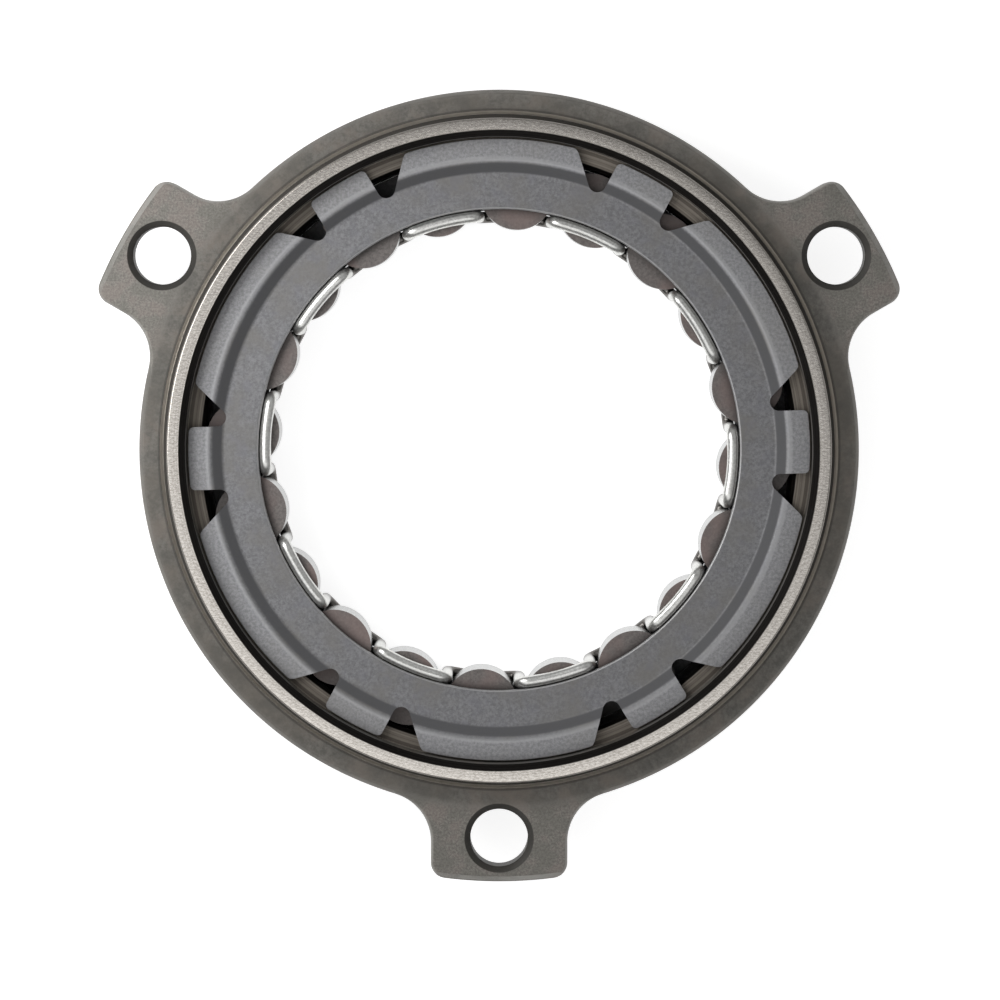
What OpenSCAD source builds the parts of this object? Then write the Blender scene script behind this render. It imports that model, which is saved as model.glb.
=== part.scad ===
// Sprag starter clutch: a three-lug outer race, a pressed cage, twenty sprags and a meander spring.
// The axis is Z, the back face lies on Z = 0, and the lug faces and the cage's tabs look towards +Z.
// Lengths are millimetres and angles are degrees.

/* [Races] */
// Diameter of the hub that the sprags grip
hub_d = 49.72; // [49:0.02:50.4]
// Bore of the outer race, where the sprags roll
raceway_d = 66.38; // [66:0.02:67]

/* [Outer race] */
// Width of the step that carries the cage's tabs, from the raceway to the wall of the pocket
tab_seat_w = 2.01; // [1.8:0.01:2.3]
// Width of the ground rim around the pocket
rim_w = 2.05; // [1.7:0.05:2.4]
// Width of the flange outside the rim, between the lugs
flange_w = 3.25; // [3:0.05:4.2]
// Thickness of the flange and its lugs
flange_t = 5.5; // [4:0.5:8]
// Height of the lug faces above the back face
lug_face_z = 13; // [12.5:0.5:16]
// Wall of the race body behind the flange
body_wall = 5.06; // [4.5:0.01:5.8]
// Height of the ground rim above the lug faces
rim_h = 3.5; // [2:0.25:5]
// Width of the mouth bevel inside the rim
mouth_w = 0.68; // [0.3:0.02:1]
// Depth of the mouth bevel inside the rim
mouth_depth = 1.1; // [0.6:0.1:1.6]
// Width of the relief groove at the foot of the rim
groove_w = 0.95; // [0.6:0.05:1.1]
// Depth of the relief groove
groove_depth = 0.4; // [0.2:0.05:0.8]
// Width of the lead-in cone between the tab seat and the raceway
lead_w = 0.42; // [0.2:0.02:0.7]
// Depth of the lead-in cone
lead_depth = 0.7; // [0.4:0.1:1.2]
// Chamfer on turned outer edges
edge_chamfer = 0.45; // [0.2:0.05:0.8]

/* [Lugs] */
// Number of lugs and bolt holes
lug_count = 3; // [2:1:6]
// Angle of the first lug, from +X
lug_angle = 30; // [0:1:120]
// Width of a lug
lug_w = 15.4; // [13:0.2:18]
// Length of a lug beyond the flange
lug_len = 8.2; // [7.5:0.1:10]
// Radius of a lug's outer corners
lug_corner_r = 1.8; // [1:0.1:3]
// Radius of the fillet from a lug to the flange
lug_fillet_r = 5.6; // [3:0.2:8]
// Chamfer on the edge of a lug's tip
lug_tip_chamfer = 0.65; // [0.2:0.05:1]
// Distance from the flange's edge to the middle of a bolt hole
bolt_reach = 3.25; // [2.8:0.05:3.7]
// Diameter of a bolt hole
bolt_hole_d = 6.5; // [5.5:0.1:7]
// Chamfer at both mouths of a bolt hole
bolt_hole_chamfer = 0.65; // [0.2:0.05:0.8]

/* [Cage] */
// Thickness of the cage's sheet
sheet_t = 1; // [0.7:0.05:1.2]
// Distance from the sprags' pivots in to the bore of the cage's two rings
ring_inset = 1.9; // [1.6:0.05:2]
// Width of the slope between the front ring and the tabs
joggle_w = 1.2; // [0.9:0.1:1.4]
// Length of the tabs beyond the slope
tab_len = 2.6; // [2.2:0.1:2.8]
// Height of the tabs above the front ring
tab_rise = 0.8; // [0.4:0.1:1.2]
// Gap between the tabs and the wall of the pocket
tab_wall_gap = 0.2; // [0.1:0.05:0.5]
// Gap between the tabs and their seat
tab_seat_gap = 0.1; // [0.05:0.05:0.3]
// Number of wide tabs, with a narrow one between each two
wide_tab_count = 6; // [4:1:6]
// Angle between a narrow tab's side and the side of the wide tab that faces it
wide_side_slope = 46; // [42:1:50]
// Width of a narrow tab
narrow_tab_w = 7.1; // [6:0.1:7.6]
// Chamfer on the corners of the tabs
tab_corner = 0.35; // [0.2:0.05:0.5]
// Radius of the round foot of the notch between two tabs
notch_r = 1; // [0.8:0.05:1.1]
// Depth of the notch inside the ring's crease
notch_depth = 0.25; // [0.1:0.05:0.4]
// Relief that the notch's foot cuts into the sides of both tabs
notch_relief = 0.06; // [0.04:0.01:0.1]
// Angle of the first wide tab, from +X
cage_angle = 91.6; // [80:0.1:100]
// Gap between the rear ring and the raceway
rear_ring_side_gap = 0.39; // [0.3:0.01:2.5]
// Gap between the rear ring and the plane of the back face
rear_ring_gap = 0.3; // [0.1:0.05:0.6]
// Distance from the sprags' pivots in to the middle of the bars
bar_inset = 0.1; // [-0.2:0.05:0.5]
// Width of a bar
bar_w = 1.5; // [1:0.1:2]

/* [Sprags] */
// Number of sprags
sprag_count = 20; // [18:2:20]
// Angle of the first sprag, from +X
sprag_angle = 86; // [76:0.5:96]
// How far the sprags' pivots lie inside the middle between hub and raceway
pivot_offset = 0.025; // [-0.2:0.005:0.2]
// Radius of a sprag's two gripping faces
grip_r = 4.2; // [4.1:0.05:4.3]
// Offset of the outer gripping face's centre across the sprag, which makes the sprag a cam
grip_offset = 0.6; // [0.3:0.05:0.8]
// Width of a sprag's heads
head_w = 7.1; // [6.4:0.1:7.4]
// Width of a sprag's waist
waist_w = 5.8; // [5:0.1:6.2]
// Length of the hollow that forms the waist
waist_len = 3.4; // [2.6:0.1:4]
// Gap between a sprag and the raceway at rest
raceway_gap = 0.2; // [0.1:0.05:0.3]
// Gap between a sprag's end and each ring of the cage
sprag_end_gap = 0.25; // [0.1:0.05:0.4]

/* [Meander spring] */
// Diameter of the spring wire
wire_d = 1.2; // [0.9:0.05:1.3]
// Radius of the wire's bends, at its middle
bend_r = 1; // [0.8:0.05:1.2]
// Gap between the spring's loops and the rings of the cage
loop_ring_gap = 0.15; // [0.05:0.05:0.4]
// Gap between the spring's loops and the ends of the sprags
loop_end_gap = 0.25; // [0.1:0.05:0.3]

/* [Hidden] */
$fn = 96;

// A cutter runs this far past the face that it opens
cut_over = 1;
// A wedge reaches this many times past the arc that trims it
wedge_reach = 1.3;

hub_r = hub_d / 2;
raceway_r = raceway_d / 2;
pocket_r = raceway_r + tab_seat_w;
rim_r = pocket_r + rim_w;
groove_r = rim_r + groove_w;
flange_r = rim_r + flange_w;
body_r = raceway_r + body_wall;
rim_face_z = lug_face_z + rim_h;
flange_back_z = lug_face_z - flange_t;
lug_tip_r = flange_r + lug_len;
bolt_circle_r = flange_r + bolt_reach;
lug_root_r = (groove_r + flange_r) / 2;

// The tabs end level with the lug faces, and the tab seat is a sheet and a gap below them
tab_tip_r = pocket_r - tab_wall_gap;
tab_z = lug_face_z - sheet_t;
tab_seat_z = tab_z - tab_seat_gap;
tab_foot_r = tab_tip_r - tab_len;
crease_r = tab_foot_r - joggle_w;
notch_middle_r = crease_r - notch_depth + notch_r;
tab_pitch = 360 / wide_tab_count;
front_ring_z = tab_z - tab_rise;
rear_ring_z = rear_ring_gap;

pivot_r = (hub_r + raceway_r) / 2 - pivot_offset;
ring_bore_r = pivot_r - ring_inset;
bar_r = pivot_r - bar_inset;
sprag_pitch = 360 / sprag_count;
sprag_z = rear_ring_z + sheet_t + sprag_end_gap;
sprag_len = front_ring_z - sprag_end_gap - sprag_z;
outer_grip_x = raceway_r - raceway_gap - grip_r - pivot_r;
inner_grip_x = hub_r + grip_r - pivot_r;

wire_r = wire_d / 2;
loop_r = ring_bore_r - loop_ring_gap - wire_r;
front_loop_z = sprag_z + sprag_len + loop_end_gap + wire_r;
rear_loop_z = sprag_z - loop_end_gap - wire_r;
loop_half_angle = sprag_pitch / 2 - atan(bend_r / loop_r);

// Steps of the wire's bends and arcs, and the sides of its section
bend_steps = 3;
arc_steps = 3;
wire_sides = 10;
side_angle = 360 / wire_sides;

function polar(r, a) = [r * cos(a), r * sin(a)];
function flip(p) = [p[0], -p[1]];

// Unit vector along a tab's upper side, and the one at right angles to it, into the tab
function along(foot, tip) = (tip - foot) / norm(tip - foot);
function inward(foot, tip) = [along(foot, tip)[1], -along(foot, tip)[0]];

// Centre of the corner arc that touches both the tip circle and a tab's upper side
function corner_centre(tip_r, foot, tip, r) =
    let (
        u = along(foot, tip),
        start = foot + r * inward(foot, tip),
        run = -start * u + sqrt(pow(start * u, 2) - start * start + pow(tip_r - r, 2))
    )
    start + run * u;

// Plan of a tab along +X, with straight sides, round corners and a tip on a circle about the axis
module tab_plan(tip_r, foot, tip, corner_r) {
    centre = corner_centre(tip_r, foot, tip, corner_r);
    side_end = centre - corner_r * inward(foot, tip);
    polygon([[0, 0], foot, side_end, centre, flip(centre), flip(side_end), flip(foot)]);
    intersection() {
        circle(tip_r);
        polygon([[0, 0], wedge_reach * centre, wedge_reach * flip(centre)]);
    }
    for (corner = [centre, flip(centre)])
        translate(corner) circle(corner_r, $fn = 32);
}

// Plan of the two fillets between the flange's circle and a lug along +X
module lug_fillets() {
    centre_y = lug_w / 2 + lug_fillet_r;
    reach = flange_r + lug_fillet_r;
    centre = [sqrt(reach * reach - centre_y * centre_y), centre_y];
    for (side = [0, 1])
        mirror([0, side, 0])
            difference() {
                polygon([[0, 0], [centre[0], lug_w / 2], centre, centre * flange_r / reach]);
                translate(centre) circle(lug_fillet_r);
            }
}

module lug_plan() {
    tab_plan(lug_tip_r, [0, lug_w / 2], [lug_tip_r, lug_w / 2], lug_corner_r);
    translate([0, -lug_w / 2]) square([flange_r, lug_w]);
    lug_fillets();
}

// Turned envelope of the lugs, with chamfers at the tips
module lug_turning() {
    c = lug_tip_chamfer;
    rotate_extrude()
        polygon([
            [lug_root_r, flange_back_z], [lug_tip_r - c, flange_back_z],
            [lug_tip_r, flange_back_z + c], [lug_tip_r, lug_face_z - c],
            [lug_tip_r - c, lug_face_z], [lug_root_r, lug_face_z]
        ]);
}

module lugs() {
    intersection() {
        translate([0, 0, flange_back_z])
            linear_extrude(flange_t)
                for (i = [0 : lug_count - 1])
                    rotate(lug_angle + i * 360 / lug_count) lug_plan();
        lug_turning();
    }
}

// Turned section of the race: raceway, tab seat, pocket, ground rim, relief groove, flange and body
module race_turning() {
    c = edge_chamfer;
    rotate_extrude()
        polygon([
            [raceway_r + c, 0], [body_r - c, 0], [body_r, c],
            [body_r, flange_back_z - c], [body_r + c, flange_back_z],
            [flange_r - c, flange_back_z], [flange_r, flange_back_z + c],
            [flange_r, lug_face_z - c], [flange_r - c, lug_face_z],
            [groove_r, lug_face_z], [groove_r - groove_depth, lug_face_z - groove_depth],
            [rim_r, lug_face_z - groove_depth], [rim_r, rim_face_z - c],
            [rim_r - c, rim_face_z], [pocket_r + mouth_w, rim_face_z],
            [pocket_r, rim_face_z - mouth_depth], [pocket_r, tab_seat_z],
            [raceway_r + lead_w, tab_seat_z], [raceway_r, tab_seat_z - lead_depth],
            [raceway_r, c]
        ]);
}

// Bolt hole with a chamfered mouth on both faces of a lug
module bolt_hole() {
    r = bolt_hole_d / 2;
    c = bolt_hole_chamfer;
    rotate_extrude()
        polygon([
            [0, flange_back_z - cut_over], [r + c + cut_over, flange_back_z - cut_over],
            [r, flange_back_z + c], [r, lug_face_z - c],
            [r + c + cut_over, lug_face_z + cut_over], [0, lug_face_z + cut_over]
        ]);
}

module outer_race() {
    color([0.37, 0.36, 0.33])
        difference() {
            union() {
                race_turning();
                lugs();
            }
            for (i = [0 : lug_count - 1])
                rotate(lug_angle + i * 360 / lug_count)
                    translate([bolt_circle_r, 0, 0]) bolt_hole();
        }
}

// Section of the front sheet: flat ring, slope, and the tabs one rise higher
module front_sheet_turning() {
    bend_shift = sheet_t * tan(atan(tab_rise / joggle_w) / 2);
    rotate_extrude()
        polygon([
            [ring_bore_r, front_ring_z], [crease_r + bend_shift, front_ring_z],
            [tab_foot_r + bend_shift, tab_z], [tab_tip_r, tab_z],
            [tab_tip_r, tab_z + sheet_t], [tab_foot_r, tab_z + sheet_t],
            [crease_r, front_ring_z + sheet_t], [ring_bore_r, front_ring_z + sheet_t]
        ]);
}

// Cutter for the notch between the narrow tab along +X and the wide tab on its left. Its foot is round,
// and its two sides end in the chamfers on the tips of the tabs.
module tab_notch() {
    side_y = narrow_tab_w / 2;
    centre_y = side_y + notch_r - notch_relief;
    centre = [sqrt(notch_middle_r * notch_middle_r - centre_y * centre_y), centre_y];
    narrow_corner = [sqrt(tab_tip_r * tab_tip_r - side_y * side_y), side_y];
    slope = polar(1, wide_side_slope);
    wide_foot = centre + (notch_r - notch_relief) * [-slope[1], slope[0]];
    along_slope = wide_foot * slope;
    run = -along_slope + sqrt(along_slope * along_slope - wide_foot * wide_foot + tab_tip_r * tab_tip_r);
    wide_corner = wide_foot + run * slope;
    tip_direction = 90 + atan2(wide_corner[1], wide_corner[0]);
    reach = tab_corner + cut_over;
    height = tab_rise + sheet_t + 2 * cut_over;
    translate([0, 0, front_ring_z - cut_over]) {
        translate(centre) cylinder(h = height, r = notch_r, $fn = 32);
        linear_extrude(height)
            polygon([
                [centre[0], side_y], narrow_corner - [tab_corner, 0],
                narrow_corner + [cut_over, -reach],
                wide_corner - tab_corner * slope + reach * polar(1, (wide_side_slope + tip_direction) / 2),
                wide_corner - tab_corner * slope, wide_foot
            ]);
    }
}

module front_sheet() {
    difference() {
        front_sheet_turning();
        for (i = [0 : wide_tab_count - 1])
            rotate(cage_angle + (i + 0.5) * tab_pitch) {
                tab_notch();
                mirror([0, 1, 0]) tab_notch();
            }
    }
}

module rear_ring() {
    translate([0, 0, rear_ring_z])
        difference() {
            cylinder(h = sheet_t, r = raceway_r - rear_ring_side_gap);
            translate([0, 0, -cut_over]) cylinder(h = sheet_t + 2 * cut_over, r = ring_bore_r);
        }
}

// One bar of the cage stands in each gap between two sprags and joins the two rings
module bars() {
    foot_z = rear_ring_z + sheet_t / 2;
    for (i = [0 : sprag_count - 1])
        rotate(sprag_angle + (i + 0.5) * sprag_pitch)
            translate([bar_r - sheet_t / 2, -bar_w / 2, foot_z])
                cube([sheet_t, bar_w, front_ring_z + sheet_t / 2 - foot_z]);
}

module cage() {
    color([0.48, 0.48, 0.49]) {
        front_sheet();
        rear_ring();
        bars();
    }
}

// One gripping head of a sprag, cut off at the middle line
module head_plan(side, middle) {
    intersection() {
        translate(middle) circle(grip_r);
        translate([side > 0 ? 0 : -grip_r * 2, -head_w / 2]) square([grip_r * 2, head_w]);
    }
}

// Section of a sprag about its pivot, with +X away from the axis
module sprag_plan() {
    hollow = (head_w - waist_w) / 2;
    hollow_r = (pow(waist_len / 2, 2) + hollow * hollow) / (2 * hollow);
    difference() {
        union() {
            head_plan(1, [outer_grip_x, grip_offset]);
            head_plan(-1, [inner_grip_x, 0]);
        }
        for (side = [-1, 1])
            translate([0, side * (waist_w / 2 + hollow_r)]) circle(hollow_r, $fn = 64);
    }
}

// Sprags are counted clockwise, seen from the front
module sprag(number) {
    color([0.44, 0.39, 0.38])
        rotate(sprag_angle - (number - 1) * sprag_pitch)
            translate([pivot_r, 0, sprag_z])
                linear_extrude(sprag_len) sprag_plan();
}

// Wire path over one sprag, from the leg before it to the leg after it. Each entry is a point and the
// direction of the wire there. Side is 1 for a loop in front of the sprag and -1 for one behind it.
function loop_path(angle, side) =
    let (
        height = side > 0 ? front_loop_z : rear_loop_z,
        first = angle - loop_half_angle,
        last = angle + loop_half_angle
    )
    [
        for (i = [0 : bend_steps])
            let (turn = 90 * i / bend_steps)
            bend_point(first, height, side, -cos(turn), sin(turn), sin(turn), cos(turn)),
        for (i = [1 : arc_steps - 1])
            let (a = first + (last - first) * i / arc_steps)
            [concat(polar(loop_r, a), height), [-sin(a), cos(a), 0]],
        for (i = [0 : bend_steps])
            let (turn = 90 * i / bend_steps)
            bend_point(last, height, side, sin(turn), cos(turn), cos(turn), -sin(turn))
    ];

// A point on a bend: its offset sideways and upwards from the bend's centre, and the wire's direction
function bend_point(angle, height, side, across, up, run_across, run_up) =
    let (
        tangent = [-sin(angle), cos(angle), 0],
        centre = concat(polar(loop_r, angle), height - side * bend_r)
    )
    [
        centre + bend_r * (across * tangent + [0, 0, side * up]),
        run_across * tangent + [0, 0, side * run_up]
    ];

// Ring of points around the wire at one entry of its path
function wire_ring(entry) =
    let (
        point = entry[0],
        run = entry[1],
        outward = [point[0], point[1], 0],
        level = outward - (outward * run) * run,
        out = level / norm(level),
        side = cross(run, out)
    )
    [
        for (j = [0 : wire_sides - 1])
            point + wire_r * (cos(j * side_angle) * out + sin(j * side_angle) * side)
    ];

// The wire passes in front of every second sprag and behind the others, and closes on itself
module meander_spring() {
    path = [
        for (i = [0 : sprag_count - 1])
            each loop_path(sprag_angle + i * sprag_pitch, i % 2 == 0 ? -1 : 1)
    ];
    count = len(path);
    points = [for (entry = path) each wire_ring(entry)];
    faces = [
        for (i = [0 : count - 1], j = [0 : wire_sides - 1])
            let (
                here = i * wire_sides,
                next = (i + 1) % count * wire_sides,
                k = (j + 1) % wire_sides
            )
            each [[here + j, next + k, next + j], [here + j, here + k, next + k]]
    ];
    color([0.82, 0.82, 0.80]) polyhedron(points, faces);
}

outer_race();
cage();
meander_spring();
sprag(1);  // sprag_01
sprag(2);  // sprag_02
sprag(3);  // sprag_03
sprag(4);  // sprag_04
sprag(5);  // sprag_05
sprag(6);  // sprag_06
sprag(7);  // sprag_07
sprag(8);  // sprag_08
sprag(9);  // sprag_09
sprag(10);  // sprag_10
sprag(11);  // sprag_11
sprag(12);  // sprag_12
sprag(13);  // sprag_13
sprag(14);  // sprag_14
sprag(15);  // sprag_15
sprag(16);  // sprag_16
sprag(17);  // sprag_17
sprag(18);  // sprag_18
sprag(19);  // sprag_19
sprag(20);  // sprag_20
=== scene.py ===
# %% [markdown]
# # A starter clutch in Blender
# This clutch lets an electric starter turn an engine and then lets go. Twenty small steel cams, called
# sprags, stand between a hub and the outer race. A pressed cage keeps them apart and one wire spring loads
# them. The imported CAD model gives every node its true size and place. This lesson builds a finer piece for
# each node, gives it the finish of the real part, and lights it as a product photograph.

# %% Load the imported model
import math
from collections import Counter

import bpy
from mathutils import Matrix, Vector


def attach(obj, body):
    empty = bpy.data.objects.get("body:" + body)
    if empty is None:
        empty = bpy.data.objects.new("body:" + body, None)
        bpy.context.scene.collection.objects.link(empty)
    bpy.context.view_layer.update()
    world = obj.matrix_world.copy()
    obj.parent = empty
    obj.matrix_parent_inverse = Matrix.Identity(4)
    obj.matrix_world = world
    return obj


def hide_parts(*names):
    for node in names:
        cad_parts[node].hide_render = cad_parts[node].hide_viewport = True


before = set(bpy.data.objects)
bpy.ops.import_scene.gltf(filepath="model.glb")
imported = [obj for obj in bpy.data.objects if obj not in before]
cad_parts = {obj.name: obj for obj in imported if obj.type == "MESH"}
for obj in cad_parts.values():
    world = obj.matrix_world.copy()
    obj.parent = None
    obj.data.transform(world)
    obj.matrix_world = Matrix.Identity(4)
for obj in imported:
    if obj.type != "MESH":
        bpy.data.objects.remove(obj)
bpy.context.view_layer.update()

# %% [markdown]
# ## Units and the camera
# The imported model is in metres, but a machinist thinks in millimetres, so each length below is written in
# millimetres and multiplied by MM. The photograph looks straight down the clutch's axis from a little above
# its middle. A long lens far away keeps the rings nearly concentric, and the small shift between near and
# far rings gives the camera's true place.

# %% Camera
MM = 0.001
VIEW_WIDTH = 112.5
FACE_Z = 13.0
CAMERA_HEIGHT = 650.0
CAMERA_POINT = Vector((0.1, 18.6, FACE_Z + CAMERA_HEIGHT))
CAMERA_TARGET = Vector((0.1, -5.6, FACE_Z))
SENSOR_WIDTH = 36
NEAREST_METRES = 0.01

lens = bpy.data.cameras.new("photo_camera")
lens.sensor_width = SENSOR_WIDTH
line_of_sight = CAMERA_TARGET - CAMERA_POINT
lens.lens = SENSOR_WIDTH * line_of_sight.length / VIEW_WIDTH
lens.clip_start = NEAREST_METRES
camera = bpy.data.objects.new("photo_camera", lens)
bpy.context.scene.collection.objects.link(camera)
camera.location = CAMERA_POINT * MM
camera.rotation_euler = (math.atan2(line_of_sight.y, -line_of_sight.z), 0, 0)
bpy.context.scene.camera = camera
print("lens", round(lens.lens, 1), "mm")

# %% [markdown]
# ## Helpers for modelling by hand
# A turned part is a profile spun about an axis, and a stamped part is an outline given a thickness. Both
# start from a line that is drawn corner by corner. In Blender that line is one vertex, extruded again and
# again. The helpers below draw it, so each piece can be given as the list of corners that a drawing shows.

# %% Draw an outline
def begin(name, place):
    """Add a plane, merge it to one vertex and stay in edit mode."""
    bpy.ops.object.select_all(action="DESELECT")
    bpy.ops.mesh.primitive_plane_add(size=MM, location=place)
    piece = bpy.context.object
    piece.name = piece.data.name = name
    bpy.ops.object.transform_apply(location=True)
    bpy.ops.object.mode_set(mode="EDIT")
    bpy.ops.mesh.select_mode(type="VERT")
    bpy.ops.mesh.select_all(action="SELECT")
    bpy.ops.mesh.merge(type="CENTER")
    return piece


def outline(name, corners):
    """Extrude one vertex through all corners, in millimetres, and fill the loop with a face."""
    points = [Vector(corner) * MM for corner in corners]
    piece = begin(name, points[0])
    for near, far in zip(points, points[1:]):
        bpy.ops.mesh.extrude_region_move(TRANSFORM_OT_translate={"value": far - near})
    bpy.ops.mesh.select_all(action="SELECT")
    bpy.ops.mesh.edge_face_add()
    return piece


def arc(centre, radius, start, end, steps):
    """Points on an arc in a flat outline, as (x, y), from one angle to another in degrees."""
    angles = [math.radians(start + (end - start) * i / steps) for i in range(steps + 1)]
    return [(centre[0] + radius * math.cos(a), centre[1] + radius * math.sin(a)) for a in angles]


def polar(radius, angle):
    """A point in a flat outline, from its distance and its angle in degrees."""
    return radius * math.cos(math.radians(angle)), radius * math.sin(math.radians(angle))


# %% [markdown]
# ## Turning, cutting and joining
# A lathe profile is drawn in the plane of X and Z, its corners are broken with a small bevel, and Spin
# carries it around the Z axis. Spin leaves the first and last section on top of each other, so doubles are
# merged and the normals are worked out again. Booleans then do what drills and punches do on the real part.

# %% Turn, thicken and cut
TURN_STEPS = 288
MERGE_GAP = 0.0005
FLAT_FACE_WEIGHT = 80


def leave_edit():
    """Merge doubles, point all faces outwards and go back to object mode."""
    bpy.ops.mesh.select_all(action="SELECT")
    bpy.ops.mesh.remove_doubles(threshold=MERGE_GAP * MM)
    bpy.ops.mesh.normals_make_consistent(inside=False)
    bpy.ops.object.mode_set(mode="OBJECT")


def turn(name, profile, soften=0.0, segments=2, steps=TURN_STEPS):
    """Spin a closed (radius, height) profile about the Z axis, with all corners softened."""
    piece = outline(name, [(radius, 0, height) for radius, height in profile])
    if soften:
        bpy.ops.mesh.bevel(offset=soften * MM, segments=segments, affect="VERTICES")
    bpy.ops.mesh.select_all(action="SELECT")
    bpy.ops.mesh.delete(type="ONLY_FACE")
    bpy.ops.mesh.select_all(action="SELECT")
    bpy.ops.mesh.spin(steps=steps, angle=2 * math.pi, center=(0, 0, 0), axis=(0, 0, 1),
                      use_auto_merge=False)
    leave_edit()
    return piece


def thicken(name, corners, low, high, edge=0.0, segments=2):
    """Give a flat outline its thickness, from low to high, and round its edges."""
    piece = outline(name, [(x, y, low) for x, y in corners])
    bpy.ops.mesh.extrude_region_move(TRANSFORM_OT_translate={"value": (0, 0, (high - low) * MM)})
    leave_edit()
    if edge:
        bevel_sharp(piece, edge, segments)
    return piece


def activate(piece):
    """Select one object alone, so that the next operator acts on it."""
    bpy.ops.object.select_all(action="DESELECT")
    piece.select_set(True)
    bpy.context.view_layer.objects.active = piece


def apply_modifier(piece, kind, **settings):
    """Add a modifier, set it and apply it."""
    modifier = piece.modifiers.new(kind.lower(), kind)
    for name, setting in settings.items():
        setattr(modifier, name, setting)
    activate(piece)
    bpy.ops.object.modifier_apply(modifier=modifier.name)


def bevel_sharp(piece, width, segments=2, angle=40):
    """Round every edge that is sharper than the angle."""
    apply_modifier(piece, "BEVEL", width=width * MM, segments=segments, limit_method="ANGLE",
                   angle_limit=math.radians(angle), use_clamp_overlap=True)


def combine(piece, tool, operation="DIFFERENCE"):
    """Cut a piece with a tool, or add the tool to it, and clear the tool away."""
    apply_modifier(piece, "BOOLEAN", object=tool, operation=operation, solver="EXACT")
    bpy.data.objects.remove(tool, do_unlink=True)


def duplicate(piece):
    """Copy a piece, with a mesh of its own."""
    twin = piece.copy()
    twin.data = piece.data.copy()
    bpy.context.scene.collection.objects.link(twin)
    return twin


def copies(piece, count, step, first=0.0):
    """Copy a tool around the Z axis and join the copies into one object."""
    made = []
    for i in range(count):
        twin = duplicate(piece)
        twin.data.transform(Matrix.Rotation(math.radians(first + i * step), 4, "Z"))
        made.append(twin)
    bpy.data.objects.remove(piece, do_unlink=True)
    activate(made[0])
    for twin in made:
        twin.select_set(True)
    bpy.ops.object.join()
    return made[0]


def finish_surface(piece, angle=35):
    """Shade smooth up to an angle and let large faces set the normals, so that flats stay flat."""
    activate(piece)
    bpy.ops.object.shade_smooth_by_angle(angle=math.radians(angle))
    apply_modifier(piece, "WEIGHTED_NORMAL", keep_sharp=True, weight=FLAT_FACE_WEIGHT)


def report(piece):
    """Print a piece's size in millimetres, its triangles, and the edges that don't join two faces."""
    piece.data.calc_loop_triangles()
    size = [round(side / MM, 2) for side in piece.dimensions]
    uses = Counter(edge for face in piece.data.polygons for edge in face.edge_keys)
    open_edges = sum(1 for count in uses.values() if count != 2)
    triangles = len(piece.data.loop_triangles)
    print(piece.name, "size", size, "mm,", triangles, "triangles,", open_edges, "open edges")


# %% [markdown]
# ## The outer race
# The race is one steel forging, turned on both sides. Its profile is drawn once, with the raceway for the
# sprags, the seat for the cage's tabs, the pocket, the ground rim, a relief groove at the rim's foot, the
# flange and the plain body behind it. Spinning it gives even rings of faces, which a boolean of cylinders
# would not, and those show turning marks and highlights well.

# %% Turned body of the race
RACEWAY_R = 33.19
BODY_R = 38.25
FLANGE_R = 40.5
FLANGE_BACK_Z = 7.5
RIM_R = 37.25
RIM_FACE_Z = 16.5
POCKET_R = 35.2
SEAT_Z = 11.9
MOUTH_FLARE = 0.68
MOUTH_DEPTH = 1.1
LEAD_IN_FLARE = 0.42
LEAD_IN_DEPTH = 0.7
GROOVE_R = 38.2
GROOVE_SLANT = 0.4
GROOVE_FLOOR_Z = 12.6
CHAMFER = 0.45
RIM_EDGE = 0.14

race = turn("outer_race_turned", [
    (RACEWAY_R + CHAMFER, 0), (BODY_R - CHAMFER, 0), (BODY_R, CHAMFER),
    (BODY_R, FLANGE_BACK_Z - CHAMFER), (BODY_R + CHAMFER, FLANGE_BACK_Z),
    (FLANGE_R - CHAMFER, FLANGE_BACK_Z), (FLANGE_R, FLANGE_BACK_Z + CHAMFER),
    (FLANGE_R, FACE_Z - CHAMFER), (FLANGE_R - CHAMFER, FACE_Z),
    (GROOVE_R, FACE_Z), (GROOVE_R - GROOVE_SLANT, GROOVE_FLOOR_Z), (RIM_R, GROOVE_FLOOR_Z),
    (RIM_R, RIM_FACE_Z - RIM_EDGE), (RIM_R - RIM_EDGE, RIM_FACE_Z),
    (POCKET_R + MOUTH_FLARE, RIM_FACE_Z), (POCKET_R, RIM_FACE_Z - MOUTH_DEPTH), (POCKET_R, SEAT_Z),
    (RACEWAY_R + LEAD_IN_FLARE, SEAT_Z), (RACEWAY_R, SEAT_Z - LEAD_IN_DEPTH), (RACEWAY_R, CHAMFER),
], soften=0.07)
report(race)

# %% [markdown]
# ## The lugs
# Three lugs carry the bolts. Each is an outline with straight sides, wide fillets where it meets the flange,
# and round corners on a tip that is turned with the race. The arcs below touch each other, so their centres
# follow from the radii. The tips are then chamfered by turning tools, and the holes are drilled and
# countersunk from both sides with one turned cutter.

# %% Lugs and bolt holes
LUG_HALF_W = 7.7
LUG_TIP_R = 48.7
LUG_CORNER_R = 1.8
LUG_FILLET_R = 5.6
LUG_ROOT_R = 38.9
ROOT_TURN = 2
ROOT_SINK = 0.6
LUG_EDGE = 0.42
TIP_CHAMFER = 0.65
TIP_OVERCUT = 0.5
BOLT_CIRCLE_R = 43.75
HOLE_R = 3.25
DRILL_OVERRUN = 1
LUG_ANGLES = (-90, 30, 150)
LUG_COUNT = 3
LUG_PITCH = 120


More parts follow.
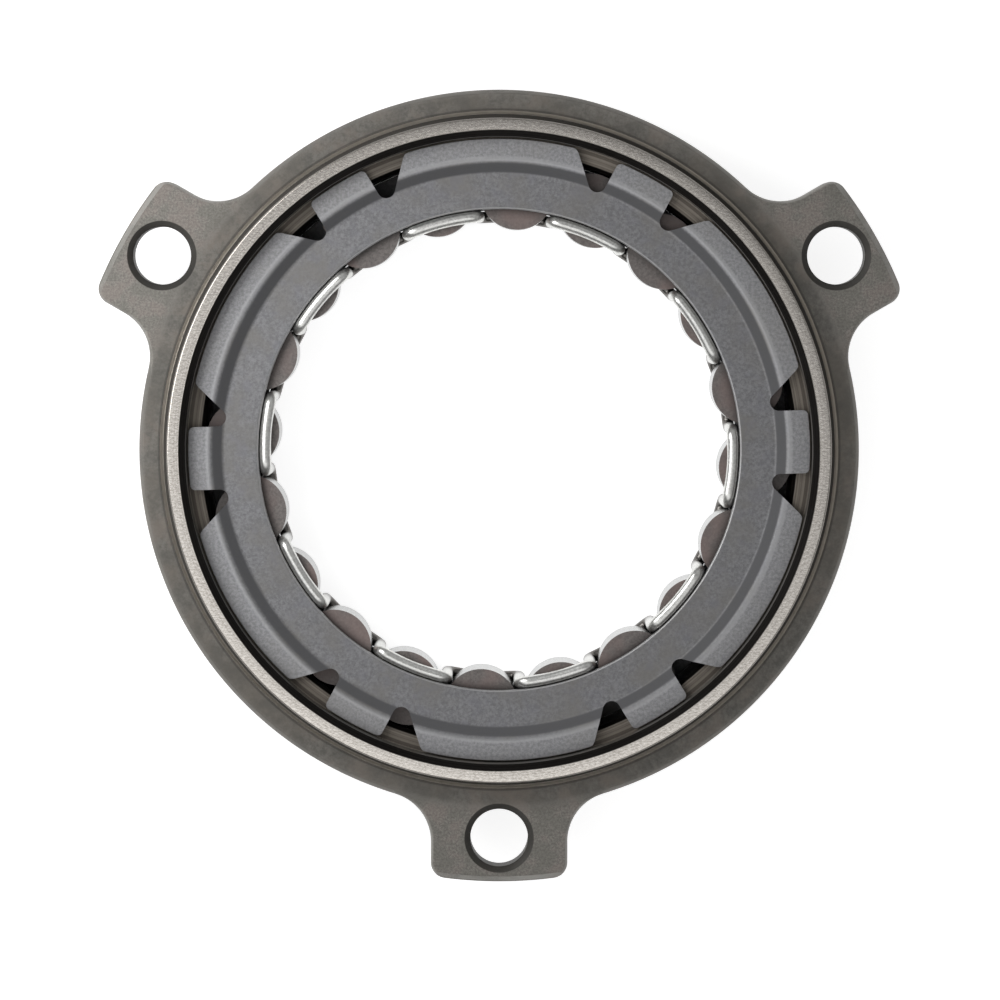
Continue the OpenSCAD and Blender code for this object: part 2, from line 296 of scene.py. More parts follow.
def lug_outline():
    """Corners of a lug along +X, counter-clockwise from the fillet at its right side."""
    fillet_y = LUG_HALF_W + LUG_FILLET_R
    reach = FLANGE_R + LUG_FILLET_R
    fillet = (math.sqrt(reach ** 2 - fillet_y ** 2), fillet_y)
    corner_y = LUG_HALF_W - LUG_CORNER_R
    corner = (math.sqrt((LUG_TIP_R - LUG_CORNER_R) ** 2 - corner_y ** 2), corner_y)
    turn_out = math.degrees(math.atan2(-fillet[1], -fillet[0]))
    tip = math.degrees(math.atan2(corner[1], corner[0]))
    upper = arc((0, 0), LUG_TIP_R, start=0, end=tip, steps=10)[:-1]
    upper += arc(corner, LUG_CORNER_R, start=tip, end=90, steps=10)
    upper += arc(fillet, LUG_FILLET_R, start=-90, end=turn_out, steps=18)
    root = math.degrees(math.atan2(fillet[1], fillet[0])) + ROOT_TURN
    upper += [polar(FLANGE_R - ROOT_SINK, root)]
    upper += arc((0, 0), LUG_ROOT_R, start=root, end=0, steps=8)[:-1]
    lower = [(x, -y) for x, y in reversed(upper[1:])]
    return lower + upper


lug = thicken("lug", lug_outline(), FLANGE_BACK_Z, FACE_Z, edge=LUG_EDGE, segments=3)
lugs = copies(lug, LUG_COUNT, LUG_PITCH, first=LUG_ANGLES[0])
combine(race, lugs, "UNION")

tip_inner_r = LUG_TIP_R - TIP_CHAMFER - TIP_OVERCUT
tip_outer_r = LUG_TIP_R + TIP_OVERCUT
for name, face, outward in (("front_tip_tool", FACE_Z, 1), ("back_tip_tool", FLANGE_BACK_Z, -1)):
    tip_tool = turn(name, [
        (tip_inner_r, face + outward * TIP_OVERCUT),
        (tip_outer_r, face - outward * (TIP_CHAMFER + TIP_OVERCUT)),
        (tip_outer_r, face + outward * TIP_OVERCUT)])
    combine(race, tip_tool)

drill_r = HOLE_R + TIP_CHAMFER + DRILL_OVERRUN
drill = turn("drill", [
    (0, FLANGE_BACK_Z - DRILL_OVERRUN), (drill_r, FLANGE_BACK_Z - DRILL_OVERRUN),
    (HOLE_R, FLANGE_BACK_Z + TIP_CHAMFER), (HOLE_R, FACE_Z - TIP_CHAMFER),
    (drill_r, FACE_Z + DRILL_OVERRUN), (0, FACE_Z + DRILL_OVERRUN)], soften=0.05, steps=96)
drill.data.transform(Matrix.Translation((BOLT_CIRCLE_R * MM, 0, 0)))
combine(race, copies(drill, LUG_COUNT, LUG_PITCH, first=LUG_ANGLES[0]))
race.name = race.data.name = "outer_race_steel"
finish_surface(race)
report(race)

# %% [markdown]
# ## The cage
# The cage is pressed from one millimetre sheet. Its front is a flat ring whose rim is stepped up into twelve
# tabs. Turning the stepped ring first and punching the twelve gaps afterwards keeps the bends even, just as
# a press would. Each gap starts with a round foot, follows the straight side of a narrow tab, and returns
# along the slanted side of a wide one. The bore's sheared edge is rounded in the profile.

# %% Pressed front of the cage
SHEET = 1.0
RING_BORE_R = 27.1
RING_Z = 11.2
TAB_Z = 12.0
CREASE_R = 31.2
TAB_FOOT_R = 32.4
TAB_TIP_R = 35.0
CAGE_ANGLE = 91.6
TAB_PAIRS = 6
TAB_PITCH = 30
NARROW_HALF_W = 3.55
NOTCH_R = 1.0
NOTCH_DEPTH = 0.25
NOTCH_MIDDLE_R = CREASE_R - NOTCH_DEPTH + NOTCH_R
WIDE_SIDE = 46.0
TAB_CORNER_R = 0.55
CORNER_DROP = 0.2
WIDE_CORNER = 0.5
WIDE_CORNER_BULGE = 0.12
GAP_OVERCUT = 1.5
PUNCH_OVERRUN = 1
FOLD_R = 1.2
INNER_BEND_R = 0.6
BORE_EDGE_R = 0.22
slope_angle = math.degrees(math.atan((TAB_Z - RING_Z) / (TAB_FOOT_R - CREASE_R)))
half_bend = math.tan(math.radians(slope_angle / 2))
bend_shift = SHEET * half_bend

fold = arc((TAB_FOOT_R + FOLD_R * half_bend, TAB_Z + SHEET - FOLD_R), FOLD_R,
           start=90, end=90 + slope_angle, steps=4)
crease = arc((CREASE_R - INNER_BEND_R * half_bend, RING_Z + SHEET + INNER_BEND_R), INNER_BEND_R,
             start=slope_angle - 90, end=-90, steps=2)
bore_edge = arc((RING_BORE_R + BORE_EDGE_R, RING_Z + SHEET - BORE_EDGE_R), BORE_EDGE_R,
                start=90, end=180, steps=3)
cage = turn("cage_front", [
    (RING_BORE_R, RING_Z), (CREASE_R + bend_shift, RING_Z), (TAB_FOOT_R + bend_shift, TAB_Z),
    (TAB_TIP_R, TAB_Z), (TAB_TIP_R, TAB_Z + SHEET), *fold, *crease, *bore_edge],
    soften=0.08)


def gap_outline():
    """Corners of the gap between the narrow tab along +X and the wide tab on its left."""
    foot_y = NARROW_HALF_W + NOTCH_R
    foot = (math.sqrt(NOTCH_MIDDLE_R ** 2 - foot_y ** 2), foot_y)
    side = Vector(polar(1, WIDE_SIDE))
    start = Vector(foot) + NOTCH_R * Vector((-side.y, side.x))
    run = -start.dot(side) + math.sqrt(start.dot(side) ** 2 - start.dot(start) + TAB_TIP_R ** 2)
    wide_corner = start + run * side
    narrow_x = math.sqrt(TAB_TIP_R ** 2 - NARROW_HALF_W ** 2)
    corner = arc((narrow_x - TAB_CORNER_R, NARROW_HALF_W - TAB_CORNER_R), TAB_CORNER_R,
                 start=90, end=20, steps=6)
    tip = math.degrees(math.atan2(wide_corner.y, wide_corner.x)) + 90
    along_tip = Vector(polar(1, tip))
    bend = [wide_corner - WIDE_CORNER * side,
            wide_corner - WIDE_CORNER_BULGE * side + WIDE_CORNER_BULGE * along_tip,
            wide_corner + WIDE_CORNER * along_tip]
    outside = [(narrow_x + GAP_OVERCUT, corner[-1][1] - CORNER_DROP),
               wide_corner + Vector(polar(GAP_OVERCUT, tip - 60))]
    round_foot = arc(foot, NOTCH_R, start=90 + WIDE_SIDE, end=270, steps=16)
    return round_foot + corner + outside + [tuple(point) for point in reversed(bend)]


gap = thicken("tab_gap", gap_outline(), RING_Z - PUNCH_OVERRUN, TAB_Z + SHEET + PUNCH_OVERRUN)
mirrored = duplicate(gap)
mirrored.data.transform(Matrix.Scale(-1, 4, (0, 1, 0)))
mirrored.data.flip_normals()
activate(gap)
mirrored.select_set(True)
bpy.ops.object.join()
combine(cage, copies(gap, TAB_PAIRS, 2 * TAB_PITCH, first=CAGE_ANGLE + TAB_PITCH))
report(cage)

# %% [markdown]
# ## Bars and rear ring
# Behind the front ring the sheet is drawn into bars between the sprags, and a second ring joins their ends.
# The photograph hides both, so they follow the CAD model: plain bars, half sunk in the rings so that the
# union makes one piece. The ring is a little wider than in the CAD model, since no floor shows through the
# cage's notches in the photograph.

# %% Bars and rear ring of the cage
REAR_RING_R = 33.17
REAR_RING_Z = 0.3
BAR_R = 28.9
BAR_HALF_W = 0.75
SPRAG_ANGLE = 86.0
SPRAG_PITCH = 18.0
SPRAG_COUNT = 20

rear_ring = turn("rear_ring", [
    (RING_BORE_R, REAR_RING_Z), (REAR_RING_R, REAR_RING_Z), (REAR_RING_R, REAR_RING_Z + SHEET),
    (RING_BORE_R, REAR_RING_Z + SHEET)], soften=0.12)
bar = thicken("bar", [
    (BAR_R - SHEET / 2, -BAR_HALF_W), (BAR_R + SHEET / 2, -BAR_HALF_W),
    (BAR_R + SHEET / 2, BAR_HALF_W), (BAR_R - SHEET / 2, BAR_HALF_W)],
    REAR_RING_Z + SHEET / 2, RING_Z + SHEET / 2)
bars = copies(bar, SPRAG_COUNT, SPRAG_PITCH, first=SPRAG_ANGLE + SPRAG_PITCH / 2)
combine(cage, rear_ring, "UNION")
combine(cage, bars, "UNION")
cage.name = cage.data.name = "cage_sheet"
finish_surface(cage)
report(cage)

# %% [markdown]
# ## The sprags
# A sprag is a length of drawn profile: two round gripping faces, the outer one set off to one side so that
# the sprag acts as a cam, and a waist between them. One sprag is drawn flat, given its length and rounded at
# its ends, and the slivers that the rounding leaves are dissolved. The twenty sprags are copies of its mesh,
# each turned to its own place on the circle.

# %% Twenty sprags
PIVOT_R = 29.0
GRIP_R = 4.2
OUTER_GRIP = (-0.21, 0.6)
INNER_GRIP = (0.06, 0.0)
WAIST_R = 2.548
WAIST_MIDDLE = 5.448
SPRAG_Z = 1.55
SPRAG_TOP_Z = 10.95
SLIVER = 0.001


def sprag_outline():
    """Corners of a sprag about its pivot, with +X away from the clutch's axis."""
    return (arc(OUTER_GRIP, GRIP_R, start=-68.0, end=44.6, steps=20)
            + arc((0, WAIST_MIDDLE), WAIST_R, start=-48.1, end=-131.9, steps=10)
            + arc(INNER_GRIP, GRIP_R, start=122.3, end=237.7, steps=24)
            + arc((0, -WAIST_MIDDLE), WAIST_R, start=131.9, end=57.7, steps=10))


sprag = thicken("sprag", sprag_outline(), SPRAG_Z, SPRAG_TOP_Z, edge=0.62, segments=4)
activate(sprag)
bpy.ops.object.mode_set(mode="EDIT")
bpy.ops.mesh.select_all(action="SELECT")
bpy.ops.mesh.dissolve_degenerate(threshold=SLIVER * MM)
bpy.ops.object.mode_set(mode="OBJECT")
sprag.data.transform(Matrix.Translation((PIVOT_R * MM, 0, 0)))
finish_surface(sprag)
sprags = []
for number in range(1, SPRAG_COUNT + 1):
    twin = duplicate(sprag)
    twin.name = twin.data.name = f"sprag_{number:02d}_steel"
    angle = SPRAG_ANGLE - (number - 1) * SPRAG_PITCH
    twin.data.transform(Matrix.Rotation(math.radians(angle), 4, "Z"))
    sprags.append(twin)
bpy.data.objects.remove(sprag, do_unlink=True)
report(sprags[0])

# %% [markdown]
# ## The meander spring
# One wire runs around the whole clutch. It passes in front of every second sprag and behind the others, and
# drops through the gap between each pair. A curve with a round bevel is the natural way to make wire: the
# path is a list of points, and Blender keeps the section round through every bend. It becomes a mesh at the
# end, so that it behaves as any other piece.

# %% Spring wire
WIRE_R = 0.66
BEND_R = 1.0
LOOP_R = 26.35
FRONT_LOOP_Z = 11.8
REAR_LOOP_Z = 0.7
BEND_STEPS = 8
ARC_STEPS = 12
WIRE_ROUNDNESS = 6
half_loop = SPRAG_PITCH / 2 - math.degrees(math.atan(BEND_R / LOOP_R))


def bend_point(angle, height, side, across, up):
    """A point on a bend, from its offset along the circle and along the axis."""
    x, y = polar(LOOP_R, angle)
    along = Vector((*polar(1, angle + 90), 0))
    return Vector((x, y, height - side * BEND_R)) + BEND_R * (across * along + Vector((0, 0, side * up)))


path = []
for loop in range(SPRAG_COUNT):
    middle = SPRAG_ANGLE + loop * SPRAG_PITCH
    side = -1 if loop % 2 == 0 else 1
    height = FRONT_LOOP_Z if side > 0 else REAR_LOOP_Z
    for i in range(BEND_STEPS + 1):
        turned = math.radians(90 * i / BEND_STEPS)
        path.append(bend_point(middle - half_loop, height, side, -math.cos(turned), math.sin(turned)))
    for i in range(1, ARC_STEPS):
        path.append(Vector((*polar(LOOP_R, middle - half_loop + 2 * half_loop * i / ARC_STEPS), height)))
    for i in range(BEND_STEPS + 1):
        turned = math.radians(90 * i / BEND_STEPS)
        path.append(bend_point(middle + half_loop, height, side, math.sin(turned), math.cos(turned)))

bpy.ops.object.select_all(action="DESELECT")
bpy.ops.curve.primitive_nurbs_path_add()
spring = bpy.context.object
spring.name = "meander_spring_wire"
spring.data.splines.clear()
line = spring.data.splines.new("POLY")
line.points.add(len(path) - 1)
for point, place in zip(line.points, path):
    point.co = (*(place * MM), 1)
line.use_cyclic_u = True
spring.data.dimensions = "3D"
spring.data.bevel_depth = WIRE_R * MM
spring.data.bevel_resolution = WIRE_ROUNDNESS
spring.data.use_fill_caps = False
activate(spring)
bpy.ops.object.convert(target="MESH")
spring = bpy.context.object
spring.data.name = "meander_spring_wire"
bpy.ops.object.shade_smooth()
report(spring)

# %% [markdown]
# ## Finishes as expressions
# Each finish is worked out from a point's place on the part: its distance from the axis, its height and some
# noise. Written with operators, the maths reads as it would on paper. The class below wraps one socket of a
# shader, so that +, - and * add Math nodes, and one method adds any other node.

# %% Shader expressions
FACTOR, FIRST, SECOND, MIXED = 0, 6, 7, 2


class Signal:
    """A socket in a material, with maths by operators and other nodes by node()."""

    def __init__(self, tree, socket=None):
        self.tree = tree
        self.socket = socket

    def node(self, kind, inputs, output=0, **settings):
        """Add a node: first its settings, then the values or links of its sockets."""
        made = self.tree.nodes.new(kind)
        for name, setting in settings.items():
            setattr(made, name, setting)
        for key, value in inputs.items():
            if isinstance(value, Signal):
                self.tree.links.new(value.socket, made.inputs[key])
            else:
                made.inputs[key].default_value = value
        return Signal(self.tree, made.outputs[output])

    def maths(self, operation, *values):
        return self.node("ShaderNodeMath", dict(enumerate(values)), operation=operation)

    def __add__(self, other):
        return self.maths("ADD", self, other)

    def __radd__(self, other):
        return self.maths("ADD", other, self)

    def __sub__(self, other):
        return self.maths("SUBTRACT", self, other)

    def __rsub__(self, other):
        return self.maths("SUBTRACT", other, self)

    def __mul__(self, other):
        return self.maths("MULTIPLY", self, other)

    def __rmul__(self, other):
        return self.maths("MULTIPLY", other, self)

    def smaller(self, other):
        return self.maths("MINIMUM", self, other)

    def larger(self, other):
        return self.maths("MAXIMUM", self, other)

    def rise(self, low, high):
        """A smooth step from 0 at low to 1 at high. It falls with the value where low is the larger."""
        return self.node("ShaderNodeMapRange", {"Value": self, "From Min": low, "From Max": high},
                         interpolation_type="SMOOTHSTEP")

    def band(self, low, high, soft):
        """1 between low and high, 0 outside, with soft edges."""
        return self.rise(low - soft, low + soft) * (1 - self.rise(high - soft, high + soft))

    def scaled(self, x, y, z):
        """This place with each axis scaled: a small scale draws a noise out into streaks along it."""
        return self.node("ShaderNodeVectorMath", {0: self, 1: (x, y, z)}, operation="MULTIPLY")

    def distance(self, x, y):
        """How far this place is from a line along Z."""
        return self.node("ShaderNodeVectorMath", {0: self.scaled(1, 1, 0), 1: (x, y, 0)}, output="Value",
                         operation="DISTANCE")

    def blend(self, first, second):
        """Mix two colours by this factor."""
        return self.node("ShaderNodeMix", {FACTOR: self, FIRST: first, SECOND: second}, output=MIXED,
                         data_type="RGBA")

    def cover(self, under, over, share):
        """Lay one colour over another where this mask is 1, by a share of full cover."""
        return (self * share).blend(under, over)


def noise(place, scale, detail=4.0, roughness=0.6):
    """Fractal noise about 0.5, with a scale in grains a millimetre."""
    return place.node("ShaderNodeTexNoise",
                      {"Vector": place, "Scale": scale, "Detail": detail, "Roughness": roughness})


# %% [markdown]
# ## Colours and sockets
# A colour is read off a screen as three numbers from 0 to 255, but a shader works with linear light. The
# screen standard joins a straight toe for the darkest tones to a power curve for the rest. The other helpers
# make a material, link a signal to its shader, raise a relief, and measure a place on the part.

# %% Colours, shaders and places
SCREEN_WHITE = 255
TOE_END = 10
TOE_SLOPE = 12.92
CURVE_OFFSET = 0.055
CURVE_POWER = 2.4


def colour(*channels):
    """A screen colour of red, green and blue from 0 to 255, as the linear colour that a shader needs."""
    linear = []
    for channel in channels:
        level = channel / SCREEN_WHITE
        curve = ((level + CURVE_OFFSET) / (1 + CURVE_OFFSET)) ** CURVE_POWER
        linear.append(curve if channel > TOE_END else level / TOE_SLOPE)
    return (*linear, 1.0)


def finish(name):
    """A new material, its shader, and the place on the part in millimetres."""
    material = bpy.data.materials.new(name)
    material.use_nodes = True
    tree = material.node_tree
    shader = next(node for node in tree.nodes if node.type == "BSDF_PRINCIPLED")
    place = Signal(tree).node("ShaderNodeTexCoord", {}, output="Object")
    place = place.node("ShaderNodeVectorMath", {0: place, "Scale": 1 / MM}, operation="SCALE")
    return material, tree, shader, place


def drive(tree, shader, socket, signal):
    """Link a signal to one of the shader's sockets."""
    tree.links.new(signal.socket, shader.inputs[socket])


def relief(tree, shader, height, strength, distance_mm):
    """Let a signal raise and lower the surface."""
    bump = height.node("ShaderNodeBump", {"Height": height, "Strength": strength,
                                          "Distance": distance_mm * MM})
    drive(tree, shader, "Normal", bump)


def split(place):
    """A place's distance from the axis and its height, in millimetres."""
    radius = place.node("ShaderNodeVectorMath", {0: place.scaled(1, 1, 0)}, output="Value",
                        operation="LENGTH")
    height = place.node("ShaderNodeSeparateXYZ", {0: place}, output="Z")
    return radius, height


# %% [markdown]
# ## Steel of the outer race
# The forging is phosphated, a dark warm grey finish with a fine crystal grain. The lugs were not turned, so
# they are browner and more mottled and worn bright along their front edges, and painted shade darkens their
# countersinks. The rim was ground afterwards, so it is bright, with short slanted scratches and a darker
# broken edge. The seat and raceway keep the fine rings of the lathe tool. Painted shade darkens the relief
# groove and its outer edge, the mouth of the pocket and the lead-in to the raceway. Where there are two
# tones, noise mixes them.

# %% Tones of the race
PHOSPHATE = (colour(90, 88, 83), colour(118, 115, 110))
BROWN_CLOUD = colour(102, 97, 90)
BROWN_BLOTCH = colour(124, 115, 107)
DARK_BLOTCH = colour(82, 81, 77)
TURNED_STEEL = colour(132, 129, 124)
FORGED = (colour(102, 99, 94), colour(142, 138, 132))
FORGED_BROWN = colour(130, 120, 114)
FORGED_OLIVE = colour(106, 105, 98)
WORN_STEEL = colour(176, 174, 169)
COUNTERSINK_PAINTED_SHADE = colour(58, 56, 53)
GROOVE_EDGE_PAINTED_SHADE = colour(60, 58, 54)
SEAT_STEEL = (colour(80, 74, 68), colour(130, 123, 114))
NEAR_BLACK_PAINTED_SHADE = (colour(24, 22, 21), colour(46, 43, 40))
RACEWAY_STEEL = (colour(62, 59, 55), colour(90, 86, 81))
GROOVE_PAINTED_SHADE = colour(58, 55, 51)
GROOVE_LIP_STEEL = colour(220, 215, 207)
GROUND_STEEL = (colour(182, 176, 169), colour(234, 229, 222))
GROUND_RINGS = colour(160, 152, 144)
RIM_EDGE_STEEL = colour(104, 100, 95)

# %% Flange and lugs
LEAST_WEAR = 0.25
PATCHY_WEAR = 0.4
race_finish, tree, shader, place = finish("phosphated_and_ground_steel")
radius, height = split(place)
grain = noise(place, scale=2.2, detail=6, roughness=0.7)
cloud = noise(place, scale=0.12, detail=3)
blotch = noise(place, scale=0.3, detail=3)
speck = noise(place, scale=4.0, detail=4, roughness=0.8)

turned_edge = radius.band(low=40.0, high=40.6, soft=0.3)
flange = grain.rise(low=0.3, high=0.7).blend(*PHOSPHATE)
flange = cloud.rise(low=0.35, high=0.65).cover(flange, BROWN_CLOUD, share=0.7)
flange = blotch.rise(low=0.5, high=0.64).cover(flange, BROWN_BLOTCH, share=0.4)
flange = blotch.rise(low=0.5, high=0.36).cover(flange, DARK_BLOTCH, share=0.4)
flange = turned_edge.cover(flange, TURNED_STEEL, share=0.3)

lug_tone = speck.rise(low=0.38, high=0.62).blend(*FORGED)
lug_tone = blotch.rise(low=0.45, high=0.6).cover(lug_tone, FORGED_BROWN, share=0.45)
lug_tone = blotch.rise(low=0.55, high=0.4).cover(lug_tone, FORGED_OLIVE, share=0.5)
worn = height.band(low=12.45, high=12.96, soft=0.03)
wear = LEAST_WEAR + cloud.rise(low=0.4, high=0.6) * PATCHY_WEAR
lug_tone = worn.cover(lug_tone, WORN_STEEL, share=wear)

on_lug = radius.rise(low=39.3, high=41.6)
tone = on_lug.blend(flange, lug_tone)
# Painted shade darkens the countersinks of the bolt holes.
from_holes = [place.distance(*polar(BOLT_CIRCLE_R, lug_angle)) for lug_angle in LUG_ANGLES]
from_hole = from_holes[0].smaller(from_holes[1]).smaller(from_holes[2])
countersink = 1 - from_hole.rise(low=3.86, high=3.96)
tone = countersink.cover(tone, COUNTERSINK_PAINTED_SHADE, share=0.85)
# Painted shade: a dark line on the flange along the groove's outer edge.
groove_side = radius.band(low=38.2, high=38.4, soft=0.05)
tone = groove_side.cover(tone, GROOVE_EDGE_PAINTED_SHADE, share=0.6)

# %% Seat, raceway and groove
section = place.node("ShaderNodeCombineXYZ", {"X": radius, "Y": 0.0, "Z": height})
rings = noise(section, scale=6.0, detail=3)
seat = radius.band(low=33.6, high=35.15, soft=0.03) * height.band(low=11.8, high=12.2, soft=0.05)
tone = seat.blend(tone, rings.rise(low=0.35, high=0.65).blend(*SEAT_STEEL))
lead_in = radius.band(low=33.1, high=33.6, soft=0.03) * height.band(low=10.9, high=11.85, soft=0.05)
mouth = radius.band(low=35.1, high=35.95, soft=0.03) * height.rise(low=15.3, high=15.45)
mouth = mouth * (1 - height.rise(low=16.46, high=16.49))
raceway = (1 - radius.rise(low=33.2, high=33.24)) * (1 - height.rise(low=11.1, high=11.2))
# The near-black tone of the pocket's mouth and the raceway's lead-in is painted shade in these recesses.
dark = mouth.larger(lead_in)
tone = dark.blend(tone, rings.rise(low=0.3, high=0.7).blend(*NEAR_BLACK_PAINTED_SHADE))
tone = raceway.blend(tone, rings.rise(low=0.3, high=0.7).blend(*RACEWAY_STEEL))
# The dark floor of the relief groove is painted shade.
groove = radius.band(low=37.3, high=37.78, soft=0.04) * (1 - height.rise(low=12.85, high=12.9))
tone = groove.blend(tone, GROOVE_PAINTED_SHADE)
groove_lip = radius.band(low=37.8, high=38.14, soft=0.04) * height.band(low=12.6, high=13.05, soft=0.02)
tone = groove_lip.blend(tone, GROOVE_LIP_STEEL)

# %% Ground rim
SLANT = (0, 0, math.radians(40))
STREAK = (0.7, 1.6, 1.0)
slanted = place.node("ShaderNodeMapping", {"Vector": place, "Rotation": SLANT, "Scale": STREAK})
scratches = noise(slanted, scale=3.4, detail=7, roughness=0.72)
rim_face = height.rise(low=16.3, high=16.36) * radius.rise(low=35.9, high=35.98)
rim_wall = radius.band(low=37.2, high=37.3, soft=0.01) * height.rise(low=12.8, high=13.0)
ground = rim_face.larger(rim_wall)
rim_tone = scratches.rise(low=0.3, high=0.7).blend(*GROUND_STEEL)
rim_tone = rings.rise(low=0.45, high=0.7).cover(rim_tone, GROUND_RINGS, share=0.3)
rim_edge = radius.rise(low=37.06, high=37.12) * height.rise(low=16.3, high=16.34)
rim_tone = rim_edge.cover(rim_tone, RIM_EDGE_STEEL, share=0.7)
tone = ground.blend(tone, rim_tone)
drive(tree, shader, "Base Color", tone)

# %% [markdown]
# ## Metal and gloss of the race
# A phosphate coat is only partly metal and quite rough. Grinding and turning lay the metal bare and make it
# shine, so the zones above drive Metallic and Roughness as well. A middle value of noise changes nothing.

# %% Metal, gloss and relief of the race
NOISE_MIDDLE = 0.5
COAT_METAL = 0.35
SEAT_METAL = 0.4
LIP_METAL = 0.6
COAT_ROUGH = 0.52
GROUND_SHINE = 0.35
EDGE_ROUGH = 0.2
LIP_SHINE = 0.2
RACEWAY_SHINE = 0.15
GRAIN_ROUGH = 0.15
SCRATCH_DEPTH = 0.32

partly_metal = COAT_METAL + seat * SEAT_METAL + groove_lip * LIP_METAL
drive(tree, shader, "Metallic", ground.larger(dark).larger(raceway).larger(partly_metal))
rough = COAT_ROUGH - ground * GROUND_SHINE + rim_edge * EDGE_ROUGH - groove_lip * LIP_SHINE
rough = rough - raceway * RACEWAY_SHINE + (grain - NOISE_MIDDLE) * GRAIN_ROUGH
drive(tree, shader, "Roughness", rough)
surface = grain * (1 - ground) + speck * on_lug + scratches * ground * SCRATCH_DEPTH
relief(tree, shader, surface, strength=0.35, distance_mm=0.05)

# %% [markdown]
# ## Sheet of the cage
# The cage has an even grey phosphate with a very fine grain. The slope between the ring and the tabs is
# duller and darkened by painted shade. The tabs are painted lighter for the light they catch, and the fold
# at the slope's top and the edge of the bore carry painted highlights.

# %% Cage finish
SHEET_GREY = (colour(113, 113, 115), colour(143, 143, 145))
WARM_CLOUD = colour(126, 124, 121)
BLUE_BLOTCH = colour(125, 125, 131)
BORE_EDGE_PAINTED_HIGHLIGHT = colour(214, 214, 214)
TAB_PAINTED_LIGHT = (colour(146, 146, 148), colour(176, 176, 178))
SLOPE_PAINTED_SHADE = colour(90, 90, 92)
FOLD_PAINTED_HIGHLIGHT = colour(188, 188, 190)
SHEET_METAL = 0.85
SLOPE_COAT = 0.5
SHEET_ROUGH = 0.5
SHEET_GRAIN_ROUGH = 0.2
SLOPE_ROUGH = 0.2
FOLD_SHINE = 0.12

cage_finish, tree, shader, place = finish("grey_phosphated_sheet")
radius, height = split(place)
grain = noise(place, scale=3.0, detail=5, roughness=0.7)
cloud = noise(place, scale=0.18, detail=3)
blotch = noise(place, scale=0.5, detail=3)
tone = grain.rise(low=0.3, high=0.7).blend(*SHEET_GREY)
tone = cloud.rise(low=0.4, high=0.7).cover(tone, WARM_CLOUD, share=0.7)
tone = blotch.rise(low=0.5, high=0.65).cover(tone, BLUE_BLOTCH, share=0.35)
# A painted highlight lightens the edge of the bore.
bore_painted_highlight = (1 - radius.rise(low=27.24, high=27.34)) * height.rise(low=11.85, high=11.95)
tone = bore_painted_highlight.cover(tone, BORE_EDGE_PAINTED_HIGHLIGHT, share=0.5)
# The tabs are painted lighter, standing in for the light they catch.
on_tab = radius.rise(low=32.7, high=33.0) * height.rise(low=12.5, high=12.9)
tab_painted_light_tone = grain.rise(low=0.35, high=0.65).blend(*TAB_PAINTED_LIGHT)
tone = on_tab.cover(tone, tab_painted_light_tone, share=0.6)
# Painted shade darkens the slope, which is also less metal and rougher.
on_slope = radius.band(low=31.24, high=32.3, soft=0.12) * height.rise(low=12.13, high=12.2)
tone = on_slope.cover(tone, SLOPE_PAINTED_SHADE, share=0.9)
# A painted highlight lightens the fold at the top of the slope, which is also shinier.
fold_highlight = radius.band(low=32.5, high=33.0, soft=0.2) * height.rise(low=12.7, high=12.95)
tone = fold_highlight.cover(tone, FOLD_PAINTED_HIGHLIGHT, share=0.5)
drive(tree, shader, "Base Color", tone)
drive(tree, shader, "Metallic", SHEET_METAL - on_slope * SLOPE_COAT)
rough = SHEET_ROUGH + (grain - NOISE_MIDDLE) * SHEET_GRAIN_ROUGH
drive(tree, shader, "Roughness", rough + on_slope * SLOPE_ROUGH - fold_highlight * FOLD_SHINE)
relief(tree, shader, grain, strength=0.25, distance_mm=0.03)

# %% [markdown]
# ## Steel of the sprags
# The sprags' ends are dark and brownish, and a painted shadow darkens them further under the cage's ring.
# Their inner gripping faces are polished, with faint lines along their length, and painted shade darkens
# their flanks.

# %% Sprag finish
END_BROWN = (colour(98, 94, 92), colour(126, 120, 117))
BLUSH = colour(134, 116, 112)
GRIP_STEEL = (colour(160, 161, 160), colour(182, 183, 182))
FLANK_PAINTED_SHADE = colour(58, 56, 55)
UNDER_RING_PAINTED_SHADOW = colour(50, 47, 46)
END_COAT = 0.5
POLISHED_ROUGH = 0.26
END_ROUGH = 0.2
LINE_ROUGH = 0.1

sprag_finish, tree, shader, place = finish("hardened_sprag_steel")
radius, height = split(place)
grain = noise(place, scale=3.5, detail=5, roughness=0.7)
blush = noise(place, scale=0.16, detail=2)
drawn = noise(place.scaled(1.0, 1.0, 0.12), scale=2.6, detail=4)
end_face = height.rise(low=10.9, high=10.94)
polished = 1 - radius.rise(low=25.9, high=26.5)
end_tone = grain.rise(low=0.3, high=0.7).blend(*END_BROWN)
end_tone = blush.rise(low=0.42, high=0.62).cover(end_tone, BLUSH, share=0.6)
# Painted shadow of the cage's ring on the sprags' ends.
end_tone = radius.rise(low=25.9, high=27.4).cover(end_tone, UNDER_RING_PAINTED_SHADOW, share=0.6)
grip_tone = drawn.rise(low=0.3, high=0.7).blend(*GRIP_STEEL)
# The flanks' dark colour is painted shade in the gaps between the sprags.
side_tone = polished.blend(FLANK_PAINTED_SHADE, grip_tone)
drive(tree, shader, "Base Color", end_face.blend(side_tone, end_tone))
drive(tree, shader, "Metallic", 1 - end_face * END_COAT)
rough = POLISHED_ROUGH + end_face * END_ROUGH + (drawn - NOISE_MIDDLE) * LINE_ROUGH
drive(tree, shader, "Roughness", rough)
relief(tree, shader, grain * end_face, strength=0.15, distance_mm=0.02)

# %% [markdown]
# ## The spring's wire
# The spring is bright drawn wire with a faint grain. Towards the rear painted shade darkens it, where it
# lies deep between dark parts.

